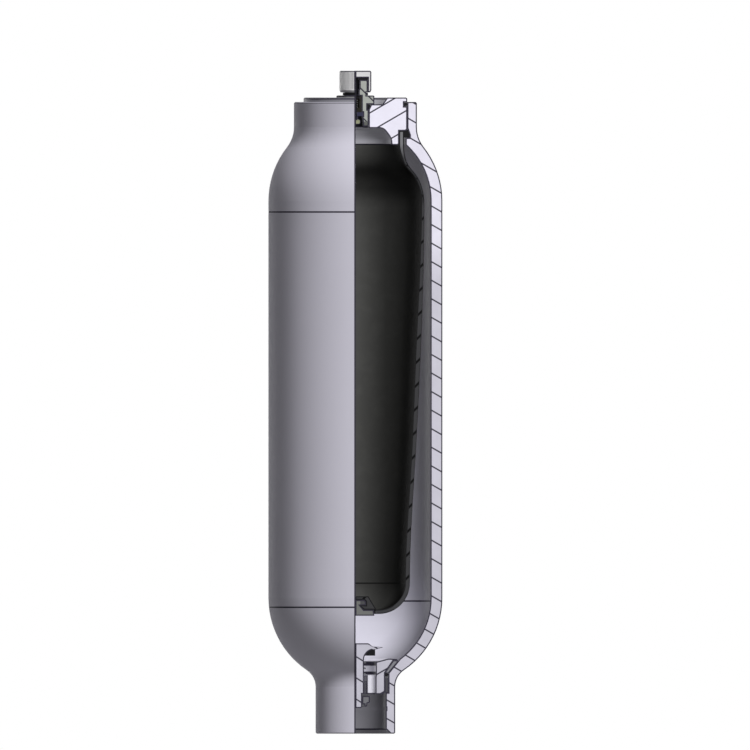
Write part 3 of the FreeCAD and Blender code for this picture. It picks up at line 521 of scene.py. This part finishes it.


# Painted shade: the body's faces towards the axis are near black, as the shade in the narrow bore.
valve_steel = turned_steel("valve_steel", VALVE_STEEL, SHADED_BORE, VALVE_CUT, VALVE_LINES, (COLLAR_EDGE,), dark_tip)
dress("gas_valve_body", valve_steel)
dress("core_barrel", turned_steel("core_brass", DARK_BRASS, DARK_BRASS, DARK_BRASS))
dress("core_disc", turned_steel("disc_brass", DISC_BRASS, DISC_BRASS, DISC_BRASS))
# The pin is painted near black all over, as shade in the bore.
dress("core_pin", turned_steel("pin_steel", SHADED_BORE, SHADED_BORE, SHADED_BORE))
dress("core_seal", moulded_plastic("core_plastic", CORE_BLUE, CORE_ROUGHNESS, CORE_SPECULAR))

# Valve cap
# A turned steel cap with a fine straight knurl, screwed over the neck of the valve by hand.
# The knurl is a wave of the angle round the axis, and it stops short of the dark bevelled rim and the top.
CAP_STEEL = (0.66, 0.655, 0.66, 1)
CAP_RING = 0.94
CAP_CUT = (0.665, 0.66, 0.665, 1)
CAP_BEVEL = (0.8445, 0.8480, 0.65, 0.0)
CAP_TOP_EDGE = (0.87255, 0.0014)
CAP_EDGE_R = 0.0198
CAP_ROUGHNESS = 0.42
CAP_SPECULAR = 0.25
CAP_METALLIC = 0.15
KNURL_COUNT = 72
KNURL_LOW_Z = 0.8485
KNURL_HIGH_Z = 0.8700
KNURL_END = 0.0005
KNURL_SHADE = 0.18

n = Nodes("cap_steel")
wave = n.math("SINE", n.times(n.math("ARCTAN2", n.y, n.x), float(KNURL_COUNT)))
over_foot = n.ramp(n.z, KNURL_LOW_Z, KNURL_LOW_Z + KNURL_END)
under_top = n.ramp(n.z, KNURL_HIGH_Z, KNURL_HIGH_Z + KNURL_END, 1.0, 0.0)
knurl = n.times(wave, n.times(over_foot, under_top))
metal = n.mix(n.rings(scale=700, detail=4), tint(CAP_STEEL, CAP_RING), CAP_STEEL)
metal = n.mix(n.ramp(knurl, -1.0, 1.0, KNURL_SHADE, 0.0), metal, LINE_COLOUR)
metal = n.mix(n.ramp(n.z, *CAP_BEVEL), metal, LINE_COLOUR)
# Painted shade: the faces towards the axis inside the cap are near black.
metal = n.mix(n.inward(), metal, SHADED_BORE)
top_edge = n.times(n.near(n.z, *CAP_TOP_EDGE), n.above(n.radius(), CAP_EDGE_R))
metal = n.mix(n.largest(n.cut_edge(), top_edge), metal, LINE_COLOUR)
n.bump(knurl, strength=1.0, distance=0.0003)
metal = n.mix(n.on_cut(), metal, n.cut_colour(CAP_CUT))
dress("valve_cap", n.finish(metal, CAP_ROUGHNESS, CAP_SPECULAR, CAP_METALLIC))

# Bladder
# Black nitrile rubber, moulded in one piece: a lip in the mouth, a thin flank and a thick rounded foot.
# Hung full of gas, it narrows towards the foot, where a boss holds the steel button.
BLADDER_RUBBER = (0.078, 0.078, 0.075, 1)
BLADDER_ROUGHNESS = (0.5, 0.62)
BLADDER_SPECULAR = 0.01
BLACK = (0, 0, 0, 1)
RUBBER_SHADE_ALONG = (0.004, 0.040, 1.0, 0.54)
RUBBER_SHADE_BEHIND = (0.29, 0.66, 0.14, 1.0)
RUBBER_SHADE_UP = (0.22, 0.67, 0.72, 1.0)
RUBBER_SHADE_NECK = (0.692, 0.718, 1.0, 0.48)
RUBBER_SHADE_THROAT = (0.742, 0.763, 0.48, 1.0)
BLADDER_SCRIBE_Z = 0.1980
SCRIBE_SHADE = 0.2
BLADDER_CUT = (0.050, 0.050, 0.053, 1)
BLADDER_LINES = (0.3480, -1.0, 0.03016, 0.0027)
BLADDER_LINE_SHADE = 0.1
LIP_CUT = (0.20, 0.20, 0.21, 1)
LIP_CUT_UP = (0.7575, 0.776)
KEPT_SWEEP = math.radians(270)
MERGE_DISTANCE = 1e-7
SHARP_OVER = 35
LIP_R, LIP_BORE_R, LIP_TOP_Z, LIP_LOW_Z = 0.0638, 0.05765, 0.79325, 0.776
NECK = ((0.0652, 0.7615, 0.0050), (0.0702, 0.7480, 0.0046), (0.0810, 0.7340, 0.0040), (0.0876, 0.7190, 0.0036))
FLANK = ((0.0907, 0.7013, 0.0035), (0.0861, 0.5041, 0.0062), (0.0788, 0.3572, 0.0051), (0.0717, 0.1983, 0.0058))
FLANK_STEPS = 24
FOOT_CENTRE = (0.0310, 0.1983)
FOOT_OUTER_R, FOOT_INNER_R = 0.0407, 0.0349
BOSS = ((0.0276, 0.1634), (0.0171, 0.1808), (0.0, 0.1808))
CAVITY = (
    (0.0, 0.1763), (0.0118, 0.1763), (0.0141, 0.1740), (0.0141, 0.1687),
    (0.0059, 0.1687), (0.0113, 0.1633), (0.0241, 0.1633), (0.0253, 0.1576),
)
DOWN, UP = (0, -1), (0, 1)
STEADY_Z = 0.70


def smooth_curve(stations, first_way, last_way, count=14):
    """A cubic spline through stations, by chord length, with count points between two of them.

    A point is the sum of the two stations beside it and of the chord times their slopes, each weighted by a cubic
    of the share t of the way. The slopes are those that bend evenly through each station, and start and end as given.
    """
    points = np.asarray(stations, float)
    chord = np.linalg.norm(np.diff(points, axis=0), axis=1)
    last = len(points) - 1
    weights = np.eye(last + 1)
    bends = np.zeros((last + 1, 2))
    bends[0], bends[-1] = first_way, last_way
    for i in range(1, last):
        before, after = chord[i - 1], chord[i]
        weights[i, i - 1], weights[i, i], weights[i, i + 1] = after, 2 * (before + after), before
        bends[i] = 3 * ((points[i + 1] - points[i]) * before / after + (points[i] - points[i - 1]) * after / before)
    slope = np.linalg.solve(weights, bends)
    t = np.linspace(0, 1, count, endpoint=False)[:, None]
    spans = [
        (2 * t**3 - 3 * t**2 + 1) * points[i]
        + (t**3 - 2 * t**2 + t) * chord[i] * slope[i]
        + (3 * t**2 - 2 * t**3) * points[i + 1]
        + (t**3 - t**2) * chord[i] * slope[i + 1]
        for i in range(last)
    ]
    return np.vstack(spans + [points[-1:]])


def arc_points(centre, radius, start, end, count=24):
    """An arc from start to end in degrees: the centre plus radius times the cosine and sine of the angle."""
    t = np.radians(np.linspace(start, end, count))
    return np.column_stack([centre[0] + radius * np.cos(t), centre[1] + radius * np.sin(t)])


def closed_mesh(name, points, faces, sharp=SHARP_OVER):
    """A mesh object with merged points, outward normals, and smooth shading but for edges over sharp degrees."""
    made = mesh_object(name, points, faces)
    mesh = made.data
    build = bmesh.new()
    build.from_mesh(mesh)
    bmesh.ops.remove_doubles(build, verts=build.verts, dist=MERGE_DISTANCE)
    bmesh.ops.recalc_face_normals(build, faces=build.faces)
    build.to_mesh(mesh)
    build.free()
    mesh.polygons.foreach_set("use_smooth", np.ones(len(mesh.polygons), bool))
    mesh.set_sharp_from_angle(angle=math.radians(sharp))
    return made


def swept_mesh(name, profile, steps=108):
    """The closed profile turned about the axis: a point at (r, z) and turn t lies at (r cos t, r sin t, z)."""
    turn = np.linspace(0, KEPT_SWEEP, steps + 1)[:, None]
    r, z = profile[:, 0], profile[:, 1]
    points = np.stack([np.cos(turn) * r, np.sin(turn) * r, np.ones_like(turn) * z], axis=2)
    index = np.arange(points.size // 3).reshape(points.shape[:2])
    beside = np.roll(index, -1, axis=1)
    quads = np.stack([index[:-1], index[1:], beside[1:], beside[:-1]], axis=2).reshape(-1, 4)
    return closed_mesh(name, points.reshape(-1, 3), quads.tolist() + [index[0].tolist(), index[-1].tolist()])


outer_neck = [(r, z) for r, z, _ in NECK]
inner_neck = [(r - wall, z) for r, z, wall in NECK]
outer_flank = [(r, z) for r, z, _ in FLANK]
inner_flank = [(r - wall, z) for r, z, wall in FLANK]
bladder_profile = np.vstack(
    [
        [(LIP_R, LIP_TOP_Z)],
        smooth_curve([(LIP_R, LIP_LOW_Z)] + outer_neck + outer_flank[:1], DOWN, DOWN),
        smooth_curve(outer_flank, DOWN, DOWN, FLANK_STEPS)[1:-1],
        arc_points(FOOT_CENTRE, FOOT_OUTER_R, 0, -90),
        CAVITY[::-1],
        BOSS[::-1],
        arc_points(FOOT_CENTRE, FOOT_INNER_R, -90, 0),
        smooth_curve(inner_flank[::-1], UP, UP, FLANK_STEPS)[1:-1],
        smooth_curve(inner_flank[:1] + inner_neck[::-1] + [(LIP_BORE_R, LIP_LOW_Z)], UP, UP),
        [(LIP_BORE_R, LIP_TOP_Z)],
    ]
)
bladder = swept_mesh("bladder_moulding", bladder_profile)

# Painted light and shade: the rubber is painted greyest at the back, near the axis, where the lamp lights it, and
# blacker towards the cut faces, the foot and the neck, where shade falls.
n, black, roughness = rubber("bladder_rubber", BLADDER_RUBBER, BLADDER_ROUGHNESS, "rest_place")
behind = n.math("DIVIDE", n.behind_cut(), n.radius())
painted_lighting = n.times(n.ramp(n.along_cut(), *RUBBER_SHADE_ALONG), n.ramp(behind, *RUBBER_SHADE_BEHIND), n.ramp(n.z, *RUBBER_SHADE_UP))
painted_lighting = n.times(painted_lighting, n.largest(n.ramp(n.z, *RUBBER_SHADE_NECK), n.ramp(n.z, *RUBBER_SHADE_THROAT)))
black = n.mix(painted_lighting, BLACK, black)
marks = n.largest(n.near(n.z, BLADDER_SCRIBE_Z, SCRIBE_HALF), n.cut_edge())
black = n.mix(marks, black, tint(BLADDER_RUBBER, SCRIBE_SHADE))
face = n.mix(n.section_lines(*BLADDER_LINES), BLADDER_CUT, tint(BLADDER_CUT, BLADDER_LINE_SHADE))
face = n.mix(n.ramp(n.z, *LIP_CUT_UP), face, LIP_CUT)
bladder.data.materials.append(n.finish(n.mix(n.on_cut(), black, face), roughness, BLADDER_SPECULAR))


def keep_rest_place(piece):
    """Stores each point's place at rest under rest_place, for the finish to read."""
    stored = piece.data.attributes.new("rest_place", "FLOAT_VECTOR", "POINT")
    places = np.empty(len(piece.data.vertices) * 3)
    piece.data.vertices.foreach_get("co", places)
    stored.data.foreach_set("vector", places)


keep_rest_place(bladder)
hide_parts("bladder")
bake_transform(bladder)

# Oil port
# The seat insert drops on to the cone of the port. Its hub is drilled round for the oil and carries a bush.
# The insert, poppet, button and nut are machined steel, and the seals beside the insert sit in the dark.
PORT_STEEL = (0.62, 0.61, 0.67, 1)
PORT_CUT = (0.75, 0.735, 0.83, 1)
INSERT_LINES = (0.0617, -0.577, 0.028)
# The first two bands are painted shade and edge lines at once, under the seat's lip and at the pocket's floor; the
# third is a thin dark line.
INSERT_LINES_AND_SHADE = ((0.0925, 0.0026), (0.0798, 0.0018), (0.0526, 0.0010))
POPPET_LINES = (0.102, 0.62, 0.028)
HUB_SHADE = (0.14, 0.14, 0.155, 1)
HUB_R = 0.0165
RING_CUT = (0.34, 0.34, 0.37, 1)
BUTTON_CUT = (0.24, 0.245, 0.235, 1)
BUTTON_HEAD_CUT = (0.075, 0.075, 0.08, 1)
BUTTON_HEAD_Z = 0.169
BUTTON_CORE_R = 0.0064
NUT_CUT = (0.25, 0.25, 0.27, 1)
STACK_GREY = (0.10, 0.10, 0.11, 1)
RING_ROUGHNESS = (0.45, 0.55)
RING_SPECULAR = 0.15


def hub_shade(n, face):
    """Painted shade: the cut of the insert's narrow hub, inside HUB_R, is painted dark as the shade of the gap round
    the stem.
    """
    return n.mix(n.below(n.radius(), HUB_R), face, HUB_SHADE)


def dark_head(n, face):
    """The mushroom head of the button is darker on the cut than its core and its face."""
    head = n.times(n.above(n.z, BUTTON_HEAD_Z), n.above(n.radius(), BUTTON_CORE_R))
    return n.mix(head, face, BUTTON_HEAD_CUT)


insert_steel = turned_steel("insert_steel", PORT_STEEL, PORT_STEEL, PORT_CUT, INSERT_LINES, INSERT_LINES_AND_SHADE, hub_shade)
dress("seat_insert", insert_steel)
dress("cone_ring", turned_steel("ring_steel", PORT_STEEL, PORT_STEEL, RING_CUT))
# The bush takes the hub's painted shade all over.
dress("guide_bush", turned_steel("bush_bronze", HUB_SHADE, HUB_SHADE, HUB_SHADE))
dress("poppet", turned_steel("poppet_steel", PORT_STEEL, PORT_STEEL, PORT_CUT, POPPET_LINES))
dress("bladder_button", turned_steel("button_steel", PORT_STEEL, PORT_STEEL, BUTTON_CUT, change=dark_head))
dress("port_support_ring", turned_steel("support_steel", STACK_GREY, STACK_GREY, STACK_GREY))
dress("stem_nut", turned_steel("nut_steel", STACK_GREY, STACK_GREY, NUT_CUT))
dress("stem_washer", turned_steel("washer_steel", STACK_GREY, STACK_GREY, STACK_GREY))
ring_plastic = moulded_plastic("ring_plastic", STACK_GREY, RING_ROUGHNESS, RING_SPECULAR)
dress("port_backup_ring", ring_plastic)
dress("nut_locking_ring", ring_plastic)

# Springs
# Two coil springs of drawn steel wire: one in the pocket holds the poppet open, one in the core closes the valve.
# The cut leaves three quarters of each turn as a bow.
SPRING_STEEL = (0.16, 0.16, 0.17, 1)
WIRE_CLOUD = 0.7
WIRE_ROUGHNESS = (0.35, 0.45)
WIRE_SPECULAR = 0.3
WIRE_METALLIC = 0.4
POPPET_SPRING = dict(low=0.07715, high=0.10024, middle=0.0128, wire=0.0011, turns=3)
POPPET_SPRING_KEEP = 0.30
CORE_SPRING = dict(low=0.8241, high=0.8360, middle=0.0026, wire=0.0005, turns=4)
CORE_SPRING_KEEP = 0.83


def coil(name, low, high, middle, wire, turns, steps=54, sides=14):
    """Bows of a coil, closed at both ends. middle and wire are the radii of the coil and of its wire.

    At turn t and place s round the wire, a point's radius is middle plus wire cos s. Its height rises by the pitch
    in each full turn, plus wire sin s.
    """
    pitch = (high - low - 2 * wire) / (turns - 1 + KEPT_SWEEP / (2 * math.pi))
    bow, t, s = np.meshgrid(
        np.arange(turns),
        np.linspace(0, KEPT_SWEEP, steps + 1),
        np.linspace(0, 2 * math.pi, sides, endpoint=False),
        indexing="ij",
    )
    r = middle + wire * np.cos(s)
    z = low + wire + pitch * (bow + t / (2 * math.pi)) + wire * np.sin(s)
    points = np.stack([r * np.cos(t), r * np.sin(t), z], axis=3)
    index = np.arange(r.size).reshape(r.shape)
    beside = np.roll(index, -1, axis=2)
    quads = np.stack([index[:, :-1], index[:, 1:], beside[:, 1:], beside[:, :-1]], axis=3).reshape(-1, 4)
    ends = np.concatenate([index[:, 0], index[:, -1]])
    return closed_mesh(name, points.reshape(-1, 3), quads.tolist() + ends.tolist())


n = Nodes("spring_steel")
drawn = n.mix(n.clouds(scale=500, detail=3), tint(SPRING_STEEL, WIRE_CLOUD), SPRING_STEEL)
drawn = n.mix(n.on_cut(), drawn, STACK_GREY)
gloss = n.clouds(scale=700, detail=2, between=WIRE_ROUGHNESS)
wire_steel = n.finish(drawn, gloss, WIRE_SPECULAR, WIRE_METALLIC)
for name, sizes, node, joint, keep in (
    ("poppet_spring_wire", POPPET_SPRING, "poppet_spring", "poppet_close", POPPET_SPRING_KEEP),
    ("core_spring_wire", CORE_SPRING, "core_spring", "core_press", CORE_SPRING_KEEP),
):
    wire = coil(name, **sizes)
    wire.data.materials.append(wire_steel)
    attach(wire, "vessel")
    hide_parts(node)
    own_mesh(wire)

# Edge lines
# The edges of every cut face are outlined in dark enamel, so that each piece stands out from the next.
# Each line is a thin bar along the outline of the face, and moves with its piece.
EDGE_WIDE = 0.0015
EDGE_LIGHT = 0.0013
EDGE_FINE = 0.0008
EDGE_THIN = 0.0005
EDGE_PROUD = 0.00025
EDGE_SHARP_OVER = 30
MITRE_LIMIT = 0.5
SLIVER_AREA = 1e-12
ROUNDED_TO = 1e-6
LIP_START_R = 0.022
FLANK_START_R = 0.050
EDGE_BLACK = (0.010, 0.010, 0.011, 1)
EDGE_CLOUD = 1.3
EDGE_ROUGHNESS = 0.6
EDGE_SPECULAR = 0.05
OUTLINED = {
    "vessel": {
        EDGE_WIDE: ("shell", "closure_plug", "seat_insert", "gas_valve_body"),
        EDGE_FINE: ("cone_ring", "guide_bush", "port_support_ring"),
    },
    "cap": {EDGE_WIDE: ("valve_cap",)},
    "valve_pin": {EDGE_FINE: ("core_disc",)},
    "bladder_foot": {EDGE_WIDE: ("bladder_button",)},
    "poppet_valve": {EDGE_WIDE: ("stem_nut", "poppet")},
}


def mitred(points, edges, width):
    """Both ends of each edge, and the same ends moved left by width, which is one for each point.

    They move by the sum of the two unit normals there, divided by half its own square, which keeps the line as wide
    round a corner.
    """
    start, end = points[edges[:, 0]], points[edges[:, 1]]
    forward = (end - start) / np.linalg.norm(end - start, axis=1)[:, None]
    left = np.column_stack([-forward[:, 1], forward[:, 0]])
    total = np.zeros_like(points)
    np.add.at(total, edges[:, 0], left)
    np.add.at(total, edges[:, 1], left)
    half_square = np.maximum((total**2).sum(axis=1) / 2, MITRE_LIMIT)[:, None]
    moved = points + np.reshape(width, (-1, 1)) * total / half_square
    return points[edges], moved[edges]


def cut_outlines(node, width):
    """The outline of a node's two cut faces: the edges that only one triangle of the face has, with their copy
    moved inwards by width. The poppet's lip is so thin that its lines are thin too."""
    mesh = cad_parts[node].data
    mesh.calc_loop_triangles()
    points = np.empty(len(mesh.vertices) * 3)
    mesh.vertices.foreach_get("co", points)
    corners = np.empty(len(mesh.loop_triangles) * 3, int)
    mesh.loop_triangles.foreach_get("vertices", corners)
    places = points.reshape(-1, 3)[corners].reshape(-1, 3, 3)
    found = []
    for flat, across, sign in ((1, 0, 1), (0, 1, -1)):
        # The triangles of one cut face, in its own plane and all turned the same way.
        on = np.abs(places[:, :, flat]).max(axis=1) < CUT_DEPTH
        on &= sign * places[:, :, across].mean(axis=1) > 0
        plane = np.stack([sign * places[on][:, :, across], places[on][:, :, 2]], axis=2)
        area = np.cross(plane[:, 1] - plane[:, 0], plane[:, 2] - plane[:, 0])
        plane[area < 0] = plane[area < 0][:, ::-1]
        plane = plane[np.abs(area) > SLIVER_AREA]
        # A side of a triangle is on the outline if no other triangle has it in the other direction.
        merged, ids = np.unique(np.round(plane.reshape(-1, 2) / ROUNDED_TO), axis=0, return_inverse=True)
        ids = ids.reshape(-1, 3)
        sides = np.concatenate([ids[:, [0, 1]], ids[:, [1, 2]], ids[:, [2, 0]]])
        sides = sides[sides[:, 0] != sides[:, 1]]
        there, back = sides[:, 0] * len(merged) + sides[:, 1], sides[:, 1] * len(merged) + sides[:, 0]
        merged = merged * ROUNDED_TO
        widths = np.full(len(merged), width)
        if node == "poppet":
            widths[merged[:, 0] > LIP_START_R] = EDGE_THIN
        found.append((flat, *mitred(merged, sides[~np.isin(there, back)], widths)))
    return found


def bar_mesh(name, bars):
    """Closed thin bars: the outline and its moved copy, both a little before and behind the cut face, as four
    rails that quads join in turn."""
    blocks = []
    for flat, outer, inner in bars:
        rails = np.stack([outer, inner, inner, outer], axis=1)
        proud = np.array([1, 1, -1, -1])[None, :, None] * EDGE_PROUD * np.ones(rails.shape[:3])
        across, z = rails[..., 0], rails[..., 1]
        blocks.append(np.stack([across, -proud, z] if flat == 1 else [proud, -across, z], axis=3))
    points = np.concatenate(blocks)
    index = np.arange(points.size // 3).reshape(points.shape[:3])
    beside = np.roll(index, -1, axis=1)
    quads = np.stack([index[..., 0], index[..., 1], beside[..., 1], beside[..., 0]], axis=2)
    return closed_mesh(name, points.reshape(-1, 3), quads.reshape(-1, 4).tolist(), EDGE_SHARP_OVER)


def line_enamel(name, colour, stored=None):
    """Dark enamel, laid on with a brush and a little uneven."""
    n = Nodes(name, stored)
    uneven = n.mix(n.clouds(scale=300, detail=3), colour, tint(colour, EDGE_CLOUD))
    return n.finish(uneven, EDGE_ROUGHNESS, EDGE_SPECULAR)


def outline_piece(name, bars, enamel):
    """One object of outline bars in dark enamel."""
    piece = bar_mesh(name, bars)
    piece.data.materials.append(enamel)
    return piece


edge_enamel = line_enamel("edge_enamel", LINE_COLOUR)
edge_black = line_enamel("edge_black", EDGE_BLACK, "rest_place")
for body, outlined in OUTLINED.items():
    bars = [bar for width, nodes in outlined.items() for node in nodes for bar in cut_outlines(node, width)]
    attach(outline_piece(f"edge_lines_{body}", bars, edge_enamel), body)

# The bladder's outline comes from its own profile, thin on the flank.
count = len(bladder_profile)
loop_edges = np.column_stack([np.roll(np.arange(count), -1), np.arange(count)])
on_flank = (bladder_profile[:, 0] > FLANK_START_R) & (bladder_profile[:, 1] < STEADY_Z)
bladder_widths = np.where(on_flank, EDGE_THIN, EDGE_LIGHT)
bladder_bars = [(flat, *mitred(bladder_profile, loop_edges, bladder_widths)) for flat in (1, 0)]
bladder_edges = outline_piece("edge_lines_bladder", bladder_bars, edge_black)
keep_rest_place(bladder_edges)
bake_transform(bladder_edges)
